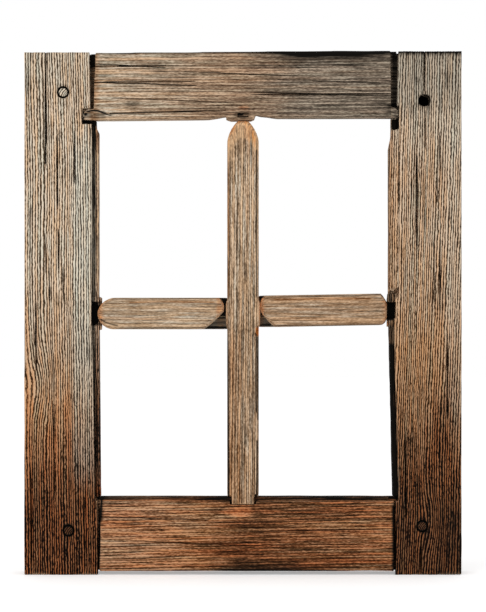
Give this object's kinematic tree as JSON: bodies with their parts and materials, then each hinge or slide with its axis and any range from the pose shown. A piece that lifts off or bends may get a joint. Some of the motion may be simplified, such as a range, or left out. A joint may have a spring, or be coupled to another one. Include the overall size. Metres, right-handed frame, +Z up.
{
  "type": "wooden window sash",
  "caption": "Weathered hand-made wooden window sash with round-nosed glazing bars and pegged corner joints, without its glass.",
  "frame": {"origin": "centre of the bottom of the sash, on the plane that its two stiles' feet stand on, midway through its thickness", "axes": "+X to the right seen from the front, +Y from the front face to the back, +Z up along the stiles"},
  "size_m": [0.4774, 0.036, 0.572],
  "materials": {
    "stile_wood": "bare grey-brown weathered softwood, rough, dark brown at the feet",
    "top_rail_wood": "bare grey-tan weathered softwood with dark water stains",
    "bottom_rail_wood": "bare brown weathered softwood with reddish grain",
    "bar_wood": "bare tan softwood, worn smooth on its rims",
    "peg_wood": "grey-brown end grain"
  },
  "bodies": {
    "root": {"left_stile": "stile_wood", "right_stile": "stile_wood", "top_rail": "top_rail_wood", "bottom_rail": "bottom_rail_wood", "upright_bar": "bar_wood", "left_cross_bar": "bar_wood", "right_cross_bar": "bar_wood", "top_left_peg": "peg_wood", "bottom_left_peg": "peg_wood", "bottom_right_peg": "peg_wood"}
  },
  "joints": []
}
